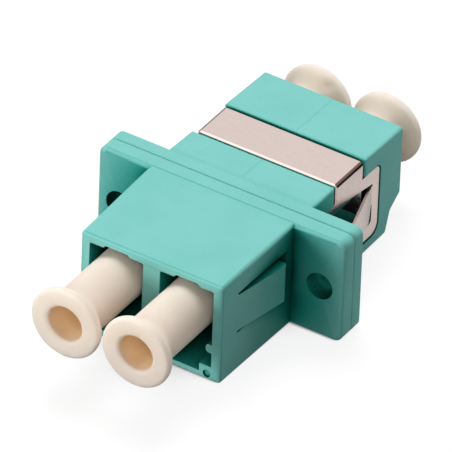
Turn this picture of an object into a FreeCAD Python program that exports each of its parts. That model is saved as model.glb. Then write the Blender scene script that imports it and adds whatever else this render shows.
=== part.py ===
import FreeCAD
import Part
import math
import os

# Flanged duplex fibre coupler: two moulded halves joined at the flange, two split alignment
# sleeves, one folded spring clip and four round dust caps.
# Millimetres. +Y runs along the optical axes from the front half to the rear half and +Z is up.
# The origin lies on the underside, midway between the two axes, in the seam of the two halves.

Vector = FreeCAD.Vector

# Ports: one square opening for each connector, with a latch channel below it
port_pitch = 6.25
port_width = 4.72
port_height = 4.84
port_corner = 0.15
port_lead_in = 0.04
latch_height = 2.74
axis_drop = 2.39
channel_width = 2.62
shoulder_rise = 0.70
key_width = 1.90
key_depth = 0.23
key_flare = 0.20
lug_height = 0.76
lug_reach = 0.50
lug_length = 1.20
lug_nose = 0.30
lug_root = 0.20

# Moulded walls, measured at the seam, and their draft angles in degrees
side_wall = 1.00
roof_wall = 1.01
floor_wall = 0.63
side_draft = 1.0
top_draft = 1.5
block_edge = 0.30
mouth_chamfer = 0.22

# Lengths along the optical axes
front_length = 9.45
front_flange = 1.55
rear_flange = 1.43
rear_length = 12.95
web_half = 1.50

# Flange ears with a screw hole each
ear_reach = 4.46
flange_corner = 0.70
flange_chamfer = 0.30
seam_chamfer = 0.08
hole_radius = 1.15
hole_offset = 2.46

# Ejector marks in the front face
mark_radius = 0.33
mark_depth = 0.15
mark_side = 1.15
mark_height = 0.60

# Snap tongues of the front half and the panel that they hold against the flange
panel_gap = 1.85
tongue_setback = 2.20
tongue_height = 3.30
tongue_top_drop = 2.17
tongue_slot = 0.20
tongue_barb = 0.85
tongue_end = 0.95
tongue_nose = 0.30
tongue_window_gap = 0.60
tongue_root = 0.40

# Scalloped relief under the rear end, which frees the connector latches
relief_height = 3.00
relief_setback = 2.25
relief_step_height = 1.95
relief_step_setback = 1.60
relief_upper_round = 0.70
relief_lower_round = 0.60

# Alignment sleeves and the barrels that hold them
sleeve_radius = 0.80
sleeve_bore = 0.625
sleeve_length = 6.80
sleeve_slit = 0.30
sleeve_play = 0.05
sleeve_end_play = 0.10
barrel_wall = 0.45
barrel_lip = 0.70
lip_bore = 0.68

# Spring clip, folded from one sheet, and the room round it in the rear half
sheet = 0.20
clip_fit = 0.04
clip_gap = 0.13
bend_inner = 0.10
neck_length = 2.96
groove_front_gap = 0.51
groove_rear_gap = 0.23
groove_round = 0.25
band_width = 3.67
band_inset = 0.36
band_edge = 0.12
plate_inset = 0.255
plate_toe_gap = 0.75
plate_heel = 2.45
plate_foot = 1.10
shoulder_drop = 1.97
plate_bottom_round = 0.90
plate_top_round = 0.45
window_heel = 0.90
window_foot = 1.20
window_rear_drop = 1.28
window_front_drop = 0.45
window_slope_length = 5.40
window_round = 0.12
window_foot_round = 0.40
tab_angle = 17.5
tab_panel_gap = 2.05
tab_slit = 0.20
tab_foot_slit = 0.42
tab_relief_rise = 1.40
tab_relief_run = 0.60
tab_bend_radius = 0.60
tab_nose = 0.20
pocket_front = 1.50
pocket_margin = 0.40

# Dust caps, all four alike; the front pair stands a little further out
cap_fit = 0.05
cap_stem_radius = 2.08
cap_head_radius = 2.98
cap_rim = 1.00
cap_rim_chamfer = 0.22
cap_flare = 1.05
cap_flare_bend = 0.55
cap_finger_gap = 1.07
cap_seat_gap = 0.10
cap_hole_radius = 1.49
cap_hole_depth = 6.00
cap_socket_depth = 5.00
front_cap_pull = 0.50

# How far a cutting shape runs past the face that it opens
overrun = 1.00

# Places that follow from the sizes above
block_half = (port_pitch + port_width) / 2 + side_wall
port_foot = floor_wall + latch_height
port_ceiling = port_foot + port_height
axis_height = port_ceiling - axis_drop
block_height = port_ceiling + roof_wall
front_reach = front_flange + front_length
rear_reach = rear_flange + rear_length
latch_plane = front_reach
port_outer = (port_pitch + port_width) / 2
port_centres = (-port_pitch / 2, port_pitch / 2)

flange_half = block_half + ear_reach
hole_places = (-block_half - hole_offset, block_half + hole_offset)

bore_radius = sleeve_radius + sleeve_play
barrel_radius = bore_radius + barrel_wall
bore_reach = sleeve_length / 2 + sleeve_end_play
barrel_reach = bore_reach + barrel_lip

groove_front = rear_flange + neck_length
band_front = groove_front + groove_front_gap
band_rear = band_front + band_width
groove_rear = band_rear + groove_rear_gap
bend_outer = bend_inner + sheet
band_top = block_height - band_inset
band_under = band_top - sheet
plate_outer = block_half - plate_inset
plate_inner = plate_outer - sheet
plate_front = rear_flange + plate_toe_gap
plate_rear = band_rear + plate_heel
plate_shoulder = block_height - shoulder_drop
window_rear = plate_rear - window_heel
window_bottom = plate_foot + window_foot
window_rear_top = plate_shoulder - window_rear_drop
window_front_top = plate_shoulder - window_front_drop
tab_free_end = rear_flange + tab_panel_gap
tab_length = (window_rear - tab_free_end) / math.cos(math.radians(tab_angle))
window_front = window_rear - tab_length - tab_slit

cap_socket = barrel_radius + cap_fit
cap_proud = cap_rim + cap_flare + cap_finger_gap
cap_length = rear_reach - web_half - cap_seat_gap + cap_proud


def on_front(y):
    """Places outline points (x, z) in the plane square to the optical axes at y."""
    return lambda x, z: Vector(x, y, z)


def on_side(x):
    """Places outline points (y, z) in the upright plane along the axes at x."""
    return lambda y, z: Vector(x, y, z)


def on_plan(z):
    """Places outline points (x, y) in the level plane at z."""
    return lambda x, y: Vector(x, y, z)


def rounded_wire(corners, place):
    """Closed outline through corners (a, b, radius), each radius made a tangent arc."""
    count = len(corners)
    runs = []
    for index, (a, b, radius) in enumerate(corners):
        corner = Vector(a, b, 0)
        before = Vector(*corners[index - 1][:2], 0) - corner
        after = Vector(*corners[(index + 1) % count][:2], 0) - corner
        before.normalize()
        after.normalize()
        half_angle = before.getAngle(after) / 2
        bisector = before + after
        if radius > 0:
            bisector.normalize()
        reach = radius / math.tan(half_angle)
        middle = corner + bisector * (radius / math.sin(half_angle) - radius)
        runs.append((corner + before * reach, middle, corner + after * reach, radius))
    edges = []
    for index, (start, middle, end, radius) in enumerate(runs):
        following = runs[(index + 1) % count][0]
        start, middle, end, following = (place(p.x, p.y) for p in (start, middle, end, following))
        if radius > 0:
            edges.append(Part.Arc(start, middle, end).toShape())
        if end.distanceToPoint(following) > 1e-6:
            edges.append(Part.LineSegment(end, following).toShape())
    return Part.Wire(edges)


def prism(corners, place, travel):
    """Solid swept by a rounded outline along the vector travel."""
    return Part.Face(rounded_wire(corners, place)).extrude(travel)


def cylinder_along_y(radius, x, z, start, end):
    """Round bar parallel to the optical axes between two stations."""
    return Part.makeCylinder(radius, abs(end - start), Vector(x, start, z), Vector(0, end - start, 0))


def mirrored(shape):
    """The same shape on the other side of the mid plane."""
    return shape.mirror(Vector(0, 0, 0), Vector(1, 0, 0))


def both_sides(shape):
    """A shape together with its mirror image."""
    return [shape, mirrored(shape)]


def one_solid(shape):
    """The single solid of a finished piece, with faces that lie in one plane merged."""
    clean = shape.removeSplitter()
    if len(clean.Solids) != 1:
        raise ValueError("a piece came out as %d solids" % len(clean.Solids))
    return clean.Solids[0]


def lies_at(edge, y):
    """Whether an edge lies in the plane square to the optical axes at y."""
    box = edge.BoundBox
    return max(abs(box.YMin - y), abs(box.YMax - y)) < 1e-6


def side_at(y):
    """Half width of the drafted block at a station."""
    return block_half - abs(y) * math.tan(math.radians(side_draft))


def top_at(y):
    """Height of the drafted block at a station."""
    return block_height - abs(y) * math.tan(math.radians(top_draft))


def drafted_block(start, end):
    """Moulded block between two stations, drawn in towards its free end, with softened edges."""
    near, far = abs(start), abs(end)
    block = Part.makeWedge(-side_at(near), near, 0, 0, -side_at(far),
                           side_at(near), far, top_at(near), top_at(far), side_at(far))
    along = [edge for edge in block.Edges if edge.BoundBox.YLength > block_edge]
    block = block.makeFillet(block_edge, along)
    block = block.makeChamfer(mouth_chamfer, [edge for edge in block.Edges if lies_at(edge, far)])
    return block if end > 0 else block.mirror(Vector(0, 0, 0), Vector(0, 1, 0))


def flange_half_plate(thickness):
    """One half of the flange: rounded corners, an eased outer edge and a fine chamfer at the seam."""
    corners = [(-flange_half, 0, flange_corner), (flange_half, 0, flange_corner)]
    corners += [(flange_half, block_height, flange_corner), (-flange_half, block_height, flange_corner)]
    plate = prism(corners, on_front(0), Vector(0, thickness, 0))
    plate = plate.makeChamfer(flange_chamfer, [edge for edge in plate.Edges if lies_at(edge, thickness)])
    return plate.makeChamfer(seam_chamfer, [edge for edge in plate.Edges if lies_at(edge, 0)])


def port_corners(x, grow):
    """Outline of a port: latch channel, shoulders, square opening with a rounded roof and a keyway in it."""
    half = port_width / 2 + grow
    channel = channel_width / 2 + grow
    key = key_width / 2 + grow
    floor = floor_wall - grow
    shoulder = floor_wall + shoulder_rise - grow
    ceiling = port_ceiling + grow
    right = [
        (x + channel, floor, 0),
        (x + channel, shoulder, 0),
        (x + half, shoulder, 0),
        (x + half, ceiling, port_corner),
        (x + key + key_flare, ceiling, 0),
        (x + key, ceiling + key_depth, 0),
    ]
    left = [(2 * x - a, b, radius) for a, b, radius in reversed(right)]
    return right + left


def port_cut(x, mouth, sense):
    """Cutter for one port from its mouth to the web, with a lead-in; sense points out of the mouth."""
    inner = sense * web_half
    outer = mouth + sense * overrun
    cavity = prism(port_corners(x, 0), on_front(inner), Vector(0, outer - inner, 0))
    wide = rounded_wire(port_corners(x, 2 * port_lead_in), on_front(mouth + sense * port_lead_in))
    narrow = rounded_wire(port_corners(x, 0), on_front(mouth - sense * port_lead_in))
    return cavity.fuse(Part.makeLoft([wide, narrow], True, True))


def latch_lugs(x, sense):
    """Pair of round-nosed lugs in a port, behind which a connector latch catches."""
    inner = sense * (latch_plane - lug_length)
    lugs = []
    for side in (-1, 1):
        wall = x + side * (port_width / 2 + lug_root)
        nose = x + side * (port_width / 2 - lug_reach)
        low = port_foot - lug_height
        corners = [(wall, low, 0), (nose, low, lug_nose), (nose, port_foot, lug_nose), (wall, port_foot, 0)]
        lugs.append(prism(corners, on_front(inner), Vector(0, sense * lug_length, 0)))
    return lugs


def barrel(x, sense):
    """Round barrel that stands on the web and holds half of an alignment sleeve."""
    return cylinder_along_y(barrel_radius, x, axis_height, sense * web_half / 2, sense * barrel_reach)


def barrel_cut(x, sense):
    """Sleeve bore up to its lip and the ferrule hole through the lip."""
    bore = cylinder_along_y(bore_radius, x, axis_height, -sense * overrun, sense * bore_reach)
    ferrule = cylinder_along_y(lip_bore, x, axis_height, 0, sense * (barrel_reach + overrun))
    return bore.fuse(ferrule)


def screw_hole(x, thickness):
    """Screw hole through one half of the flange; thickness carries the sense."""
    over = math.copysign(overrun, thickness)
    return cylinder_along_y(hole_radius, x, block_height / 2, -over, thickness + over)


def moulded_half(thickness, reach):
    """What both halves share: block, flange half, two ports with lugs, barrels and screw holes."""
    sense = math.copysign(1, reach)
    body = drafted_block(thickness / 2, reach).fuse(flange_half_plate(thickness))
    body = body.cut([port_cut(x, reach, sense) for x in port_centres])
    added = [barrel(x, sense) for x in port_centres]
    for x in port_centres:
        added += latch_lugs(x, sense)
    body = body.fuse(added)
    cuts = [barrel_cut(x, sense) for x in port_centres]
    cuts += [screw_hole(x, thickness) for x in hole_places]
    return body.cut(cuts)


def tongue_window():
    """Opening in the right side wall of the front half, a slot wider than the tongue in it."""
    low = block_height - tongue_top_drop - tongue_height - tongue_slot
    high = block_height - tongue_top_drop + tongue_slot
    front = tongue_setback - front_reach
    rear = -front_flange - tongue_window_gap
    corners = [(front, low, 0), (rear, low, 0), (rear, high, 0), (front, high, 0)]
    inside = port_outer - lug_root
    return prism(corners, on_side(inside), Vector(block_half + overrun - inside, 0, 0))


def snap_tongue():
    """Wedge tongue on the right side, rooted towards the front and standing proud at the flange."""
    root = tongue_setback - front_reach
    end = -front_flange - panel_gap
    tip = side_at(end) + tongue_barb
    corners = [
        (port_outer, root - tongue_root, 0),
        (side_at(root - tongue_root), root - tongue_root, 0),
        (side_at(root), root, 0),
        (tip, end, tongue_nose),
        (tip - tongue_end, end, 0),
        (port_outer, root, 0),
    ]
    low = block_height - tongue_top_drop - tongue_height
    return prism(corners, on_plan(low), Vector(0, 0, tongue_height))


def front_housing():
    """Front half with its snap tongues and the ejector marks in its face."""
    body = moulded_half(-front_flange, -front_reach)
    marks = []
    for x in (mark_side - side_at(front_reach), side_at(front_reach) - mark_side):
        outside, inside = -front_reach - overrun, mark_depth - front_reach
        marks.append(cylinder_along_y(mark_radius, x, mark_height, outside, inside))
    body = body.cut(both_sides(tongue_window()) + marks)
    return one_solid(body.fuse(both_sides(snap_tongue())))


def plate_corners(grow):
    """Outline of a side plate of the clip below its shoulders."""
    low = plate_foot - grow
    high = plate_shoulder + grow
    front = plate_front - grow
    rear = plate_rear + grow
    return [
        (front, low, plate_bottom_round + grow),
        (rear, low, plate_bottom_round + grow),
        (rear, high, plate_top_round + grow),
        (front, high, plate_top_round + grow),
    ]


def clip_recess():
    """Room for the clip in the rear half: a groove with rounded rims and a pocket in each side."""
    core = plate_inner - clip_fit
    roof = band_under - clip_fit
    wide = block_half + overrun
    high = block_height + overrun
    before = groove_front - 2 * groove_round
    behind = groove_rear + 2 * groove_round
    over_top = [
        (groove_front, roof, 0), (groove_rear, roof, 0), (groove_rear, top_at(groove_rear), groove_round),
        (behind, top_at(behind), 0), (behind, high, 0),
        (before, high, 0), (before, top_at(before), 0), (groove_front, top_at(groove_front), groove_round),
    ]
    down_side = [
        (core, groove_front, 0), (core, groove_rear, 0), (side_at(groove_rear), groove_rear, groove_round),
        (side_at(behind), behind, 0), (wide, behind, 0),
        (wide, before, 0), (side_at(before), before, 0), (side_at(groove_front), groove_front, groove_round),
    ]
    top = prism(over_top, on_side(-wide), Vector(2 * wide, 0, 0))
    side = prism(down_side, on_plan(plate_shoulder), Vector(0, 0, high - plate_shoulder))
    pocket = prism(plate_corners(clip_gap), on_side(core), Vector(wide - core, 0, 0))
    return [top] + both_sides(side.fuse(pocket))


def tab_pocket():
    """Opening in the right side wall of the rear half, into which the spring tab can be pressed."""
    front = window_front + pocket_front
    rear = window_rear - pocket_margin
    low = window_bottom + pocket_margin
    high = window_rear_top
    corners = [(front, low, 0), (rear, low, 0), (rear, high, 0), (front, high, 0)]
    inside = port_outer - lug_root
    return prism(corners, on_side(inside), Vector(block_half + overrun - inside, 0, 0))


def latch_relief():
    """Scallop cut across the underside of the rear end."""
    end = rear_reach + overrun
    step = rear_reach - relief_step_setback
    foot = rear_reach - relief_setback
    corners = [
        (foot, -overrun, 0),
        (foot, 0, 0),
        (step, relief_step_height, relief_lower_round),
        (rear_reach, relief_height, relief_upper_round),
        (rear_reach, relief_height + overrun, 0),
        (end, relief_height + overrun, 0),
        (end, -overrun, 0),
    ]
    wide = block_half + overrun
    return prism(corners, on_side(-wide), Vector(2 * wide, 0, 0))


def rear_housing():
    """Rear half with the room for its clip and the relief below its mouth."""
    body = moulded_half(rear_flange, rear_reach)
    cuts = clip_recess() + both_sides(tab_pocket()) + [latch_relief()]
    return one_solid(body.cut(cuts))


def alignment_sleeve(x):
    """Split ceramic sleeve on one optical axis, with its slit at the top."""
    half = sleeve_length / 2
    tube = cylinder_along_y(sleeve_radius, x, axis_height, -half, half)
    tube = tube.cut(cylinder_along_y(sleeve_bore, x, axis_height, -half - overrun, half + overrun))
    slit = Part.makeBox(sleeve_slit, sleeve_length + 2 * overrun, sleeve_radius + overrun,
                        Vector(x - sleeve_slit / 2, -half - overrun, axis_height))
    return one_solid(tube.cut(slit))


def clip_window():
    """Window in the right side plate, from which the spring tab is bent out, rounded below its root."""
    slope_end = window_rear - window_slope_length
    corners = [
        (window_front, window_bottom, window_round),
        (window_rear, window_bottom, window_foot_round),
        (window_rear, window_rear_top, window_round),
        (slope_end, window_front_top, 0),
        (window_front, window_front_top, window_round),
    ]
    return prism(corners, on_side(plate_inner - overrun), Vector(sheet + 2 * overrun, 0, 0))


def spring_tab():
    """Tab bent out of the right side plate towards the flange: an arc at its root, then straight, with a
    slanting relief where the root's lower corner would tear."""
    turn = math.radians(tab_angle)
    inner = tab_bend_radius
    outer = tab_bend_radius + sheet
    centre = Vector(plate_outer + inner, window_rear, 0)

    def on_bend(radius, angle):
        return centre + Vector(-radius * math.cos(angle), -radius * math.sin(angle), 0)

    run = Vector(math.sin(turn), -math.cos(turn), 0) * (tab_length - outer * turn)
    near, far = ([on_bend(radius, share * turn) for share in (0, 0.5, 1)] for radius in (inner, outer))
    near.append(near[2] + run)
    far.append(far[2] + run)
    edges = [
        Part.Arc(*near[:3]).toShape(),
        Part.LineSegment(near[2], near[3]).toShape(),
        Part.LineSegment(near[3], far[3]).toShape(),
        Part.LineSegment(far[3], far[2]).toShape(),
        Part.Arc(*far[2::-1]).toShape(),
        Part.LineSegment(far[0], near[0]).toShape(),
    ]
    low = window_bottom + tab_foot_slit
    high = window_rear_top - tab_slit
    strip = Part.Face(Part.Wire(edges)).extrude(Vector(0, 0, high - low))
    strip.translate(Vector(0, 0, low))
    end_edges = [edge for edge in strip.Edges if edge.BoundBox.YMax < tab_free_end + sheet
                 and edge.BoundBox.ZLength < sheet]
    relief = [
        (window_rear - tab_relief_run, low, 0),
        (window_rear, low + tab_relief_rise, 0),
        (window_rear + overrun, low + tab_relief_rise, 0),
        (window_rear + overrun, low - overrun, 0),
        (window_rear - tab_relief_run, low - overrun, 0),
    ]
    slant = prism(relief, on_side(plate_inner - overrun), Vector(sheet + 2 * overrun, 0, 0))
    return strip.makeFillet(tab_nose, end_edges).cut(slant)


def spring_clip():
    """Folded clip: band with an eased front edge, two shouldered side plates and their bent-out tabs."""
    leg = plate_shoulder - window_front_drop / 2
    corners = [
        (-plate_outer, leg, 0), (-plate_outer, band_top, bend_outer),
        (plate_outer, band_top, bend_outer), (plate_outer, leg, 0),
        (plate_inner, leg, 0), (plate_inner, band_under, bend_inner),
        (-plate_inner, band_under, bend_inner), (-plate_inner, leg, 0),
    ]
    bridge = prism(corners, on_front(band_front), Vector(0, band_width, 0))
    front_edges = [edge for edge in bridge.Edges if lies_at(edge, band_front)]
    crest = [edge for edge in front_edges if edge.BoundBox.ZMin > band_top - 1e-6]
    bridge = bridge.makeChamfer(band_edge, crest)
    plate = prism(plate_corners(0), on_side(plate_inner), Vector(sheet, 0, 0))
    folded = bridge.fuse(both_sides(plate)).cut(both_sides(clip_window()))
    return one_solid(folded.fuse(both_sides(spring_tab())))


def dust_cap(x, face, sense):
    """Cap on one port, turned about its axis; face is the station of its head, sense points inwards."""
    socket_end = cap_length - cap_socket_depth

    def at(radius, depth):
        return Vector(x + radius, face + sense * depth, axis_height)

    def line(*points):
        return [Part.LineSegment(a, b).toShape() for a, b in zip(points, points[1:])]

    flare_start = at(cap_head_radius, cap_rim)
    flare_end = at(cap_stem_radius, cap_rim + cap_flare)
    flare = Part.BezierCurve()
    flare.setPoles([flare_start, at(cap_stem_radius, cap_rim + cap_flare_bend), flare_end])
    edges = line(
        at(0, cap_hole_depth), at(cap_hole_radius, cap_hole_depth), at(cap_hole_radius, 0),
        at(cap_head_radius - cap_rim_chamfer, 0), at(cap_head_radius, cap_rim_chamfer), flare_start,
    )
    edges.append(flare.toShape())
    edges += line(
        flare_end, at(cap_stem_radius, cap_length), at(cap_socket, cap_length),
        at(cap_socket, socket_end), at(0, socket_end), at(0, cap_hole_depth),
    )
    profile = Part.Face(Part.Wire(edges))
    return one_solid(profile.revolve(Vector(x, face, axis_height), Vector(0, 1, 0), 360))


left, right = port_centres
front_face = -(web_half + cap_seat_gap + front_cap_pull + cap_length)
rear_face = web_half + cap_seat_gap + cap_length

pieces = {
    "front_housing": front_housing(),
    "rear_housing": rear_housing(),
    "spring_clip": spring_clip(),
    "left_sleeve": alignment_sleeve(left),
    "right_sleeve": alignment_sleeve(right),
    "front_left_cap": dust_cap(left, front_face, 1),
    "front_right_cap": dust_cap(right, front_face, 1),
    "rear_left_cap": dust_cap(left, rear_face, -1),
    "rear_right_cap": dust_cap(right, rear_face, -1),
}

os.makedirs("parts", exist_ok=True)
for name, shape in pieces.items():
    shape.exportStep("parts/%s.step" % name)
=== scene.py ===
import math

import bpy
import numpy as np
from mathutils import Matrix, Vector


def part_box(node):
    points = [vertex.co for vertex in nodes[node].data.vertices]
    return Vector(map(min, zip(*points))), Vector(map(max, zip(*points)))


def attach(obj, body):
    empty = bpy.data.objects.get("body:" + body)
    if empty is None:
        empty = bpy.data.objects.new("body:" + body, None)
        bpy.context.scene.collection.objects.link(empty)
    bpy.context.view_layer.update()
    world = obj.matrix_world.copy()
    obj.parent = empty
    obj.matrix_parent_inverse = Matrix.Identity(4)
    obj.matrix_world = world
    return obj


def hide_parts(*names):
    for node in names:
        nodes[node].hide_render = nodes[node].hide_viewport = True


# Looks of the flanged fibre coupler: satin aqua mouldings, a brushed steel clip, ivory dust caps
# drawn as smooth turned surfaces, and a white studio. Metres, in the part's own frame.

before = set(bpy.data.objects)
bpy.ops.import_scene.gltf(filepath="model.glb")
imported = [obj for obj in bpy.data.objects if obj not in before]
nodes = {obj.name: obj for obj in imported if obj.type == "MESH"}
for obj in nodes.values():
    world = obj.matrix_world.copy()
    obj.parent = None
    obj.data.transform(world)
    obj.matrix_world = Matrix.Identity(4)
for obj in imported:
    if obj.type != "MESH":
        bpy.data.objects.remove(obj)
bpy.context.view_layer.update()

MM = 0.001

# Dust caps, with depths counted from the face; the head radius, length and place come from the solids
stem_radius = 2.08 * MM
rim_width = 1.00 * MM
rim_round = 0.32 * MM
rim_back = 0.58 * MM
rim_lean = 45
flare_length = 1.05 * MM
hole_radius = 1.49 * MM
hole_depth = 6.00 * MM
mouth_round = 0.30 * MM
floor_round = 0.30 * MM
socket_radius = 1.35 * MM
socket_depth = 5.00 * MM
tip_round = 0.12 * MM
# depth into the hole at which the painted warm bounce light is full
painted_bounce_depth = 0.80 * MM

# Gate mark on the flare of each cap, and the angle in degrees at which it sits
gate_depth = 0.14 * MM
gate_size = 0.30 * MM
gate_place = 1.07 * MM
gate_turn = {"front_left_cap": 200, "front_right_cap": 250, "rear_left_cap": 58, "rear_right_cap": 300}

# Points along each run of a cap's profile, columns round it, and the slack in telling what is in the hole
cap_points = {
    "hole_floor": 8, "hole_corner": 8, "hole_wall": 24, "mouth": 8, "face": 10,
    "rim_front": 10, "rim_edge": 6, "rim_back": 9, "flare": 24, "stem": 40,
    "tip": 7, "socket_wall": 20, "socket_corner": 6, "socket_floor": 8,
}
cap_columns = 128
hole_slack = 1e-9

# Aqua mouldings: colours, linear, and the clouds, grain and gloss of the plastic
aqua = (0.238, 0.620, 0.575, 1)
aqua_deep = (0.212, 0.590, 0.540, 1)
# colour of the mould line along the rear half's middle, and painted shade of the step beside each flange
aqua_seam_and_step_shade = (0.090, 0.420, 0.370, 1)
# painted shade: dim, mid and deep colours for the recesses and for the pockets behind the clip
aqua_painted_dim_shade = (0.020, 0.370, 0.310, 1)
aqua_painted_mid_shade = (0.001, 0.090, 0.064, 1)
aqua_painted_deep_shade = (0.000, 0.008, 0.005, 1)
aqua_cloud = {"size": 3.5 * MM, "detail": 3}
aqua_grain = {"size": 0.12 * MM, "detail": 2}
aqua_range = (0.38, 0.62)
aqua_rough = (0.44, 0.56)
aqua_specular = 0.05
aqua_bump = {"Strength": 0.25, "Distance": 0.03 * MM}
grain_height = 0.10

# Painted shade in the recesses of the mouldings: each colour takes over as the share of open air falls
# between its two limits
painted_shade_reach = 6.0 * MM
painted_shade_samples = 8
painted_recess_shades = ((aqua_painted_dim_shade, (0.78, 1.00)), (aqua_painted_mid_shade, (0.52, 0.78)), (aqua_painted_deep_shade, (0.25, 0.50)))

# Lines on the upper face: painted shade of the small step beside each flange, and a mould line along the
# rear half's middle; and pockets behind the clip's windows, darkened with painted shade
upper_face = (8.70 * MM, 8.78 * MM)
front_step = -1.29 * MM
rear_step = 1.45 * MM
step_width = (0.02 * MM, 0.08 * MM)
step_ends = (6.15 * MM, 6.35 * MM)
step_depth = 0.22
middle_width = (0.02 * MM, 0.07 * MM)
middle_start = (1.4 * MM, 1.5 * MM)
middle_depth = 0.40
pocket_inside = (5.50 * MM, 5.55 * MM)
pocket_outside = (5.95 * MM, 6.08 * MM)
pocket_top = (8.50 * MM, 8.60 * MM)
pocket_end = (12.4 * MM, 12.5 * MM)

# Ivory caps, and how light soaks into them
ivory = (0.995, 0.790, 0.670, 1)
ivory_warm = (0.985, 0.765, 0.640, 1)
# painted warm bounce light inside the caps' holes
hole_painted_bounce_light = (0.999, 0.765, 0.490, 1)
ivory_cloud = {"size": 2.0 * MM, "detail": 3}
ivory_grain = {"size": 0.15 * MM, "detail": 2}
ivory_rough = (0.48, 0.58)
ivory_specular = 0.3
ivory_bump = {"Strength": 0.12, "Distance": 0.02 * MM}
soak_share = (0.75, 0.0)
soak_end = (0.0, 0.5)
soak_colours = (1.0, 0.95, 0.9)
soak_reach = 2.0 * MM

# Spring steel of the clip
steel = (0.735, 0.615, 0.575, 1)
steel_dark = (0.695, 0.575, 0.535, 1)
# painted dark reflection along the clip's bends
steel_painted_dark_reflection = (0.19, 0.115, 0.092, 1)
bend_reflection_line = (14.795 * MM, 14.855 * MM)
streak_stretch = (0.08, 1, 1)
steel_streak = {"size": 0.10 * MM, "detail": 3, "roughness": 0.6}
steel_mottle = {"size": 0.35 * MM, "detail": 4, "roughness": 0.7}
steel_range = (0.35, 0.65)
steel_rough = (0.22, 0.32)
steel_bump = {"Strength": 0.07, "Distance": 0.01 * MM}

# Ceramic of the sleeves
ceramic = (0.860, 0.840, 0.780, 1)
ceramic_shade = (0.800, 0.775, 0.700, 1)
ceramic_cloud = {"size": 0.8 * MM, "detail": 3}
ceramic_rough = (0.22, 0.34)

# What the finishes share: the two shares of a mingled pattern, the middle of a cloudy value's range, and
# the two ways that a share can run
main_share = 0.6
second_share = 0.4
cloud_range = (0.3, 0.7)
rising = (0.0, 1.0)
falling = (1.0, 0.0)
white = (1, 1, 1, 1)

# Smoothing of the solids: angles in degrees above which an edge stays hard, and the modifiers' settings
housing_split = 50
clip_split = 40
sleeve_split = 40
merge_reach = 0.0005 * MM
flat_weight = 80

# Studio floor: the painted shadow under the body comes from how closed in it is, and under_lift lightens it
# except under the rear ports
floor_size = 4.0
floor_pale = (0.17, 0.17, 0.17, 1)
floor_painted_shadow = (0.01, 0.01, 0.01, 1)
floor_rough = 0.9
floor_glow = 0.86
floor_in_steel = 0.62
under_reach = 15.0 * MM
under_samples = 16
painted_shadow_limits = (0.38, 0.64)
under_lift = (0.36, 0.0)
under_rear = (9.0 * MM, 11.0 * MM)
under_end = (15.0 * MM, 19.0 * MM)
under_width = (2.7 * MM, 5.6 * MM)

# Studio lights, and the cards that show in reflections; azimuths in degrees
sky_level = (0.05, 1.0)
lamps = {
    "key": {"place": (-0.13, 0.16, 0.40), "size": 0.26, "energy": 1.80},
    "fill": {"place": (-0.040, -0.092, 0.020), "size": 0.035, "energy": 0.049},
    "window": {"place": (0.150, -0.275, 0.237), "size": 0.20, "energy": 0.42},
    "side": {"place": (0.056, 0.090, 0.030), "size": 0.05, "energy": 0.030},
}
cards = {
    "dark_card": {
        "middle": (0.0167, 0.0181), "azimuth": 42, "half_width": 0.018,
        "bottom": 0.0, "top": 0.0155, "glow": (0.020, 0.014, 0.012, 1),
    },
    "bright_card": {
        "middle": (-0.115, -0.164), "azimuth": 215, "half_width": 0.10,
        "bottom": 0.12, "top": 0.32, "glow": (1.7, 1.7, 1.7, 1),
    },
}
card_black = (0.01, 0.008, 0.008, 1)

# The view of the photograph: angles in degrees, distances in metres, lens and sensor in millimetres
view_azimuth = 31.4085
view_elevation = 36.2818
view_roll = 2.2739
view_distance = 0.9585
view_right = -0.0002064
view_up = 0.0044155
view_shift_x = 0.00007
view_lens = 1014.1
view_sensor = 36
view_near = 0.05
view_far = 20


def straight_run(start, end, count):
    """Straight run of a profile: points spaced evenly from start to end."""
    share = np.linspace(0, 1, count)[:, None]
    return (1 - share) * np.array(start) + share * np.array(end)


def round_run(centre, radius, first, last, count):
    """Round run of a profile: centre plus radius times (cos, sin) of an angle in degrees that goes from
    first to last."""
    angle = np.radians(np.linspace(first, last, count))
    return np.array(centre) + radius * np.stack([np.cos(angle), np.sin(angle)], axis=1)


def flare_run(start, pole, end, count):
    """Curved run of a profile: the quadratic curve (1-t)^2 start + 2t(1-t) pole + t^2 end."""
    t = np.linspace(0, 1, count)[:, None]
    return (1 - t) ** 2 * np.array(start) + 2 * t * (1 - t) * np.array(pole) + t ** 2 * np.array(end)


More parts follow.
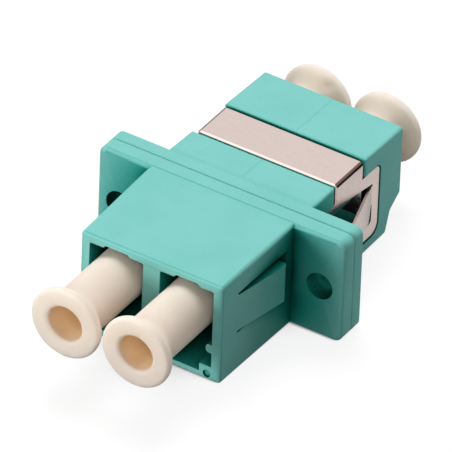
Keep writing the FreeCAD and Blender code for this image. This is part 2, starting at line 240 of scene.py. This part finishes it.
def cap_profile(head_radius, length):
    """Profile of a dust cap as (radius, depth) from the floor of its hole, over the face, rim, flare and
    stem, to the floor of its socket; every corner is a small arc, so the turned surface is smooth. The
    flare leaves the back of the rim along the arc's own tangent and meets the stem along the stem."""
    count = cap_points
    hole_flat = hole_radius - floor_round
    hole_turn = hole_depth - floor_round
    mouth_edge = hole_radius + mouth_round
    face_edge = head_radius - rim_round
    rim_turn = rim_width - rim_back
    flare_end = rim_width + flare_length
    tip_turn = length - tip_round
    socket_floor = length - socket_depth
    socket_turn = socket_floor + tip_round
    socket_flat = socket_radius - tip_round
    back = round_run((head_radius - rim_back, rim_turn), rim_back, 0, rim_lean, count["rim_back"])
    flare_start = back[-1]
    flare_pole = flare_start[1] + (flare_start[0] - stem_radius) / math.tan(math.radians(rim_lean))
    return np.concatenate([
        straight_run((0, hole_depth), (hole_flat, hole_depth), count["hole_floor"])[:-1],
        round_run((hole_flat, hole_turn), floor_round, 90, 0, count["hole_corner"]),
        straight_run((hole_radius, hole_turn), (hole_radius, mouth_round), count["hole_wall"])[1:-1],
        round_run((mouth_edge, mouth_round), mouth_round, 180, 270, count["mouth"]),
        straight_run((mouth_edge, 0), (face_edge, 0), count["face"])[1:-1],
        round_run((face_edge, rim_round), rim_round, -90, 0, count["rim_front"]),
        straight_run((head_radius, rim_round), (head_radius, rim_turn), count["rim_edge"])[1:-1],
        back,
        flare_run(flare_start, (stem_radius, flare_pole), (stem_radius, flare_end), count["flare"])[1:],
        straight_run((stem_radius, flare_end), (stem_radius, tip_turn), count["stem"])[1:-1],
        round_run((stem_radius - tip_round, tip_turn), tip_round, 0, 90, count["tip"]),
        round_run((socket_radius + tip_round, tip_turn), tip_round, 90, 180, count["tip"]),
        straight_run((socket_radius, tip_turn), (socket_radius, socket_turn), count["socket_wall"])[1:-1],
        round_run((socket_flat, socket_turn), tip_round, 0, -90, count["socket_corner"]),
        straight_run((socket_flat, socket_floor), (0, socket_floor), count["socket_floor"])[1:],
    ])


def cap_faces(rows, columns):
    """Faces of a surface turned about an axis: a quad from each row and column to the next, columns closing
    on the first, and a fan from each end's single point to the row beside it."""
    row = np.arange(rows - 1)[:, None] * columns
    next_row = row + columns
    column = np.arange(columns)
    following = (column + 1) % columns
    quads = np.stack([row + column, row + following, next_row + following, next_row + column], axis=-1)
    last_row = (rows - 1) * columns
    hole_end = np.full(columns, rows * columns)
    socket_end = hole_end + 1
    hole_fan = np.stack([hole_end, following, column], axis=-1)
    socket_fan = np.stack([socket_end, last_row + column, last_row + following], axis=-1)
    return quads.reshape(-1, 4).tolist() + hole_fan.tolist() + socket_fan.tolist()


def dust_cap(name):
    """Smooth dust cap in place of a solid: the profile turned about the port's axis, with a shallow round
    gate mark pressed into the flare, deepest at its centre and fading as exp(-(distance / size)^2). Its
    hole_depth attribute, the share of painted warm bounce light, goes from 0 at the mouth of the hole to 1
    at the depth where that painted light is full and beyond, and is 0 on the rest of the cap."""
    low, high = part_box(name)
    outward = -1 if name.startswith("front") else 1
    face = low.y if outward < 0 else high.y
    axis_x = (low.x + high.x) / 2
    axis_z = (low.z + high.z) / 2
    profile = cap_profile((high.x - low.x) / 2, high.y - low.y)
    angle = np.linspace(0, 2 * math.pi, cap_columns, endpoint=False)
    radius, depth = (part[:, None] for part in profile[1:-1].T)
    swing = (angle - math.radians(gate_turn[name]) + math.pi) % (2 * math.pi) - math.pi
    away = ((depth - gate_place) ** 2 + (radius * swing) ** 2) / gate_size ** 2
    outside = (radius > stem_radius - tip_round).astype(float)
    turned = radius - outside * gate_depth * np.exp(-away)
    skin = np.stack([
        axis_x + turned * np.cos(angle),
        face - outward * (depth + 0 * angle),
        axis_z + turned * np.sin(angle),
    ], axis=-1).reshape(-1, 3)
    ends = [[axis_x, face - outward * end, axis_z] for end in (profile[0, 1], profile[-1, 1])]
    faces = cap_faces(len(profile) - 2, cap_columns)
    if outward > 0:
        faces = [corners[::-1] for corners in faces]
    mesh = bpy.data.meshes.new(name + "_skin")
    mesh.from_pydata(np.concatenate([skin, ends]).tolist(), [], faces)
    mesh.shade_smooth()
    in_hole = (radius <= hole_radius + hole_slack) & (depth <= hole_depth + hole_slack)
    # painted light: the share of tan that stands in for light bounced inside the hole
    shade = np.where(in_hole, np.clip(depth / painted_bounce_depth, 0, 1), 0) + 0 * angle
    shade = np.concatenate([shade.ravel(), [1.0, 0.0]])
    layer = mesh.attributes.new("hole_depth", "FLOAT", "POINT")
    layer.data.foreach_set("value", shade.astype(np.float32))
    piece = bpy.data.objects.new(name + "_smooth", mesh)
    bpy.context.scene.collection.objects.link(piece)
    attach(piece, name)
    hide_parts(name)
    return piece


def node_tools(tree):
    """Two functions for a tree of shader nodes: one sets a node's sockets, with a link where the value is
    itself a socket, and one adds a node and sets its sockets."""
    def fill(node, values):
        for socket, value in values.items():
            if isinstance(value, bpy.types.NodeSocket):
                tree.links.new(value, node.inputs[socket])
            else:
                node.inputs[socket].default_value = value

    def add(kind, values, **settings):
        node = tree.nodes.new("ShaderNode" + kind)
        for setting, value in settings.items():
            setattr(node, setting, value)
        fill(node, values)
        return node

    return fill, add


def start_finish(name):
    """New material: a function that adds a node to it, and one that sets its shader and gives it back."""
    material = bpy.data.materials.new(name)
    material.use_nodes = True
    fill, add = node_tools(material.node_tree)
    shader = material.node_tree.nodes["Principled BSDF"]

    def finish(**values):
        fill(shader, {key.replace("_", " "): value for key, value in values.items()})
        return material

    return add, finish


def blend(add, share, first, second):
    """Colour between two colours, by a share from 0 to 1; 6, 7 and 2 are the Mix node's colour sockets."""
    return add("Mix", {"Factor": share, 6: first, 7: second}, data_type="RGBA").outputs[2]


def calc(add, operation, *values):
    """Result of one step of arithmetic on up to three values."""
    return add("Math", dict(enumerate(values)), operation=operation).outputs[0]


def times(add, first, *others):
    """Product of all the values."""
    product = first
    for other in others:
        product = calc(add, "MULTIPLY", product, other)
    return product


def span(add, value, limits, results=rising):
    """Value carried from the range between two limits to the range between two results, held at the ends."""
    low, high = limits
    to_low, to_high = results
    ranges = {"Value": value, "From Min": low, "From Max": high, "To Min": to_low, "To Max": to_high}
    return add("MapRange", ranges).outputs[0]


def cloudy(add, place, size, detail, roughness=0.5):
    """Cloudy value from 0 to 1 with lumps of a given size in metres."""
    values = {"Vector": place, "Scale": 1 / size, "Detail": detail, "Roughness": roughness}
    return add("TexNoise", values).outputs["Fac"]


def mingle(add, main, second):
    """Sum of two cloudy values, each times its own share."""
    return calc(add, "ADD", times(add, main, main_share), times(add, second, second_share))


def own_place(add):
    """Place on a piece in its own coordinates."""
    return add("TexCoord", {}).outputs["Object"]


def place_parts(add, place):
    """Distance from the middle plane, distance along the ports and height of a place."""
    parts = add("SeparateXYZ", {"Vector": place}).outputs
    return calc(add, "ABSOLUTE", parts["X"]), parts["Y"], parts["Z"]


def aqua_plastic(name, step_line, under_clip):
    """Satin moulded plastic: faint cloudy colour, fine grain, painted shade deepening the colour in the
    recesses, and a thin line across the upper face at step_line, beside the flange: a shallow groove in the
    bump, darkened with painted shade of the small step there. The half under the clip also has a mould line
    along its middle, and painted shade that darkens the pockets behind the clip's windows."""
    add, finish = start_finish(name)
    place = own_place(add)
    cloud = cloudy(add, place, **aqua_cloud)
    grain = cloudy(add, place, **aqua_grain)
    colour = blend(add, span(add, mingle(add, cloud, grain), aqua_range), aqua, aqua_deep)
    reach = {"Distance": painted_shade_reach}
    open_air = add("AmbientOcclusion", reach, samples=painted_shade_samples, only_local=True).outputs["AO"]
    # painted shade: the colour darkens in the recesses as the share of open air falls
    for recess_colour, limits in painted_recess_shades:
        colour = blend(add, span(add, open_air, limits), recess_colour, colour)
    across, along, height = place_parts(add, place)
    upper = span(add, height, upper_face)
    away = calc(add, "ABSOLUTE", calc(add, "SUBTRACT", along, step_line))
    within = span(add, across, step_ends, falling)
    # painted shade of the small step beside the flange darkens this line, which is also a shallow groove in
    # the bump
    mark = times(add, span(add, away, step_width, falling), within, upper, step_depth)
    if under_clip:
        # painted shade: the walls of the pockets behind the clip's windows turn near black
        pocket_shade = times(
            add,
            span(add, across, pocket_inside),
            span(add, across, pocket_outside, falling),
            span(add, height, pocket_top, falling),
            span(add, along, pocket_end, falling),
        )
        colour = blend(add, pocket_shade, colour, aqua_painted_deep_shade)
        beyond = span(add, along, middle_start)
        middle = times(add, span(add, across, middle_width, falling), beyond, upper, middle_depth)
        mark = calc(add, "MAXIMUM", mark, middle)
    relief = calc(add, "SUBTRACT", times(add, grain, grain_height), mark)
    return finish(
        Base_Color=blend(add, mark, colour, aqua_seam_and_step_shade),
        Roughness=span(add, grain, cloud_range, aqua_rough),
        Normal=add("Bump", {**aqua_bump, "Height": relief}).outputs[0],
        Specular_IOR_Level=aqua_specular,
    )


def ivory_plastic():
    """Soft translucent cap plastic: faint warm clouds and a fine grain, turning opaque inside the hole, with
    painted warm bounce light in tan there."""
    add, finish = start_finish("ivory_soft_plastic")
    place = own_place(add)
    cloud = cloudy(add, place, **ivory_cloud)
    grain = cloudy(add, place, **ivory_grain)
    colour = blend(add, span(add, cloud, cloud_range), ivory, ivory_warm)
    inside = add("Attribute", {}, attribute_name="hole_depth").outputs["Fac"]
    return finish(
        Base_Color=blend(add, inside, colour, hole_painted_bounce_light),
        Roughness=span(add, grain, cloud_range, ivory_rough),
        Normal=add("Bump", {**ivory_bump, "Height": grain}).outputs[0],
        Specular_IOR_Level=ivory_specular,
        Subsurface_Weight=span(add, inside, soak_end, soak_share),
        Subsurface_Radius=soak_colours,
        Subsurface_Scale=soak_reach,
    )


def brushed_steel():
    """Rolled spring steel: fine streaks across the band's top, a soft mottle, a satin gloss and a painted
    dark brown reflection along the bends, where the distance across plus the height is greatest."""
    add, finish = start_finish("brushed_spring_steel")
    place = own_place(add)
    stretched = add("Mapping", {"Vector": place, "Scale": streak_stretch}).outputs[0]
    streak = cloudy(add, stretched, **steel_streak)
    mottle = cloudy(add, place, **steel_mottle)
    rolled = mingle(add, streak, mottle)
    colour = blend(add, span(add, rolled, steel_range), steel_dark, steel)
    across, _, height = place_parts(add, place)
    # painted reflection: the bends turn dark brown where the distance across plus the height is greatest
    corner = calc(add, "ADD", across, height)
    return finish(
        Base_Color=blend(add, span(add, corner, bend_reflection_line), colour, steel_painted_dark_reflection),
        Metallic=1.0,
        Roughness=span(add, rolled, steel_range, steel_rough),
        Normal=add("Bump", {**steel_bump, "Height": rolled}).outputs[0],
    )


def white_ceramic():
    """Ground ceramic of the sleeves, almost white with a faint cloud."""
    add, finish = start_finish("ground_ceramic")
    cloud = cloudy(add, own_place(add), **ceramic_cloud)
    colour = blend(add, cloud, ceramic, ceramic_shade)
    return finish(Base_Color=colour, Roughness=span(add, cloud, cloud_range, ceramic_rough))


def dress(name, material, split_angle):
    """Gives a solid its finish, merges its loose triangles and shades it smooth, with hard edges above an
    angle in degrees."""
    node = nodes[name]
    node.data.materials.clear()
    node.data.materials.append(material)
    node.data.shade_smooth()
    weld = node.modifiers.new("merge", "WELD")
    weld.merge_threshold = merge_reach
    split = node.modifiers.new("hard_edges", "EDGE_SPLIT")
    split.split_angle = math.radians(split_angle)
    weighted = node.modifiers.new("flat_faces", "WEIGHTED_NORMAL")
    weighted.weight = flat_weight


def studio_sheet(name, corners):
    """Flat four-cornered sheet of the studio, which isn't part of the coupler."""
    mesh = bpy.data.meshes.new(name)
    mesh.from_pydata(corners, [], [(0, 1, 2, 3)])
    made = bpy.data.objects.new(name, mesh)
    bpy.context.scene.collection.objects.link(made)
    return made


def studio_floor():
    """Pale floor under the coupler: white to the camera and light grey in reflections, with painted shadow
    where the coupler closes it in, darkest under the rear ports, and with the coupler's own soft shadow."""
    half = floor_size / 2
    floor = studio_sheet("floor", [(-half, -half, 0), (half, -half, 0), (half, half, 0), (-half, half, 0)])
    add, finish = start_finish("white_floor")
    across, along, _ = place_parts(add, own_place(add))
    rear_ports = times(
        add,
        span(add, along, under_rear),
        span(add, across, under_width, falling),
        span(add, along, under_end, falling),
    )
    lift = span(add, rear_ports, rising, under_lift)
    open_sky = add("AmbientOcclusion", {"Distance": under_reach}, samples=under_samples).outputs["AO"]
    # painted shadow: the floor's colour and glow fade to dark where the coupler closes it in
    outside = span(add, calc(add, "ADD", open_sky, lift), painted_shadow_limits)
    path = add("LightPath", {}).outputs
    direct = calc(add, "MAXIMUM", path["Is Camera Ray"], path["Is Transmission Ray"])
    seen = times(add, direct, floor_glow)
    shown = calc(add, "MULTIPLY_ADD", path["Is Glossy Ray"], floor_in_steel, seen)
    floor.data.materials.append(finish(
        Base_Color=blend(add, outside, floor_painted_shadow, floor_pale),
        Roughness=floor_rough,
        Specular_IOR_Level=0.0,
        Emission_Color=white,
        Emission_Strength=times(add, outside, shown),
    ))


def studio_world():
    """White surroundings for the camera and for reflections, and a dimmer even light for everything else."""
    world = bpy.data.worlds.new("studio")
    bpy.context.scene.world = world
    world.use_nodes = True
    fill, add = node_tools(world.node_tree)
    path = add("LightPath", {}).outputs
    seen = calc(add, "MAXIMUM", path["Is Camera Ray"], path["Is Glossy Ray"])
    through = calc(add, "MAXIMUM", seen, path["Is Transmission Ray"])
    level = span(add, through, rising, sky_level)
    fill(world.node_tree.nodes["Background"], {"Color": white, "Strength": level})


def studio_card(name, middle, azimuth, half_width, bottom, top, glow):
    """Upright card round the coupler that shows in reflections alone: a dark one behind on the right deepens
    the line along the clip's bend, and a bright one in front draws the light along the band's front edge."""
    turn = math.radians(azimuth)
    aside = np.array([math.cos(turn), -math.sin(turn)]) * half_width
    left = middle - aside
    right = middle + aside
    card = studio_sheet(name, [(*left, bottom), (*right, bottom), (*right, top), (*left, top)])
    _, finish = start_finish(name)
    card.data.materials.append(finish(
        Base_Color=card_black,
        Roughness=1.0,
        Specular_IOR_Level=0.0,
        Emission_Color=glow,
        Emission_Strength=1.0,
    ))
    card.visible_camera = False
    card.visible_diffuse = False
    card.visible_shadow = False
    card.visible_transmission = False


def studio_lamp(name, place, size, energy):
    """Square soft lamp that looks from its place at the frame's origin, and isn't mirrored in the steel."""
    data = bpy.data.lights.new(name, "AREA")
    data.size = size
    data.energy = energy
    made = bpy.data.objects.new(name, data)
    made.location = place
    made.rotation_mode = "QUATERNION"
    made.rotation_quaternion = (-Vector(place)).to_track_quat("-Z", "Y")
    made.visible_glossy = False
    bpy.context.scene.collection.objects.link(made)


def photo_camera():
    """Camera at the photograph's viewing angle: far off with a long lens, turned a little about its view."""
    azimuth, elevation, roll = (math.radians(angle) for angle in (view_azimuth, view_elevation, view_roll))
    back = Vector((
        math.sin(azimuth) * math.cos(elevation),
        -math.cos(azimuth) * math.cos(elevation),
        math.sin(elevation),
    ))
    level = Vector((0, 0, 1)).cross(back).normalized()
    rise = back.cross(level)
    right = math.cos(roll) * level + math.sin(roll) * rise
    up = math.cos(roll) * rise - math.sin(roll) * level
    data = bpy.data.cameras.new("photo_view")
    data.sensor_width = view_sensor
    data.lens = view_lens
    data.clip_start = view_near
    data.clip_end = view_far
    camera = bpy.data.objects.new("photo_view", data)
    place = back * view_distance + right * view_right + up * view_up + Vector((view_shift_x, 0, 0))
    camera.matrix_world = Matrix.Translation(place) @ Matrix((right, up, back)).transposed().to_4x4()
    bpy.context.scene.collection.objects.link(camera)
    bpy.context.scene.camera = camera


dress("front_housing", aqua_plastic("aqua_front", front_step, under_clip=False), housing_split)
dress("rear_housing", aqua_plastic("aqua_rear", rear_step, under_clip=True), housing_split)
dress("spring_clip", brushed_steel(), clip_split)
sleeve_finish = white_ceramic()
for sleeve_name in ("left_sleeve", "right_sleeve"):
    dress(sleeve_name, sleeve_finish, sleeve_split)

cap_finish = ivory_plastic()
for cap_name in gate_turn:
    dust_cap(cap_name).data.materials.append(cap_finish)

studio_floor()
studio_world()
for card_name, card in cards.items():
    studio_card(card_name, **card)
for lamp_name, lamp in lamps.items():
    studio_lamp(lamp_name, **lamp)
photo_camera()
bpy.context.scene.view_settings.view_transform = "Standard"
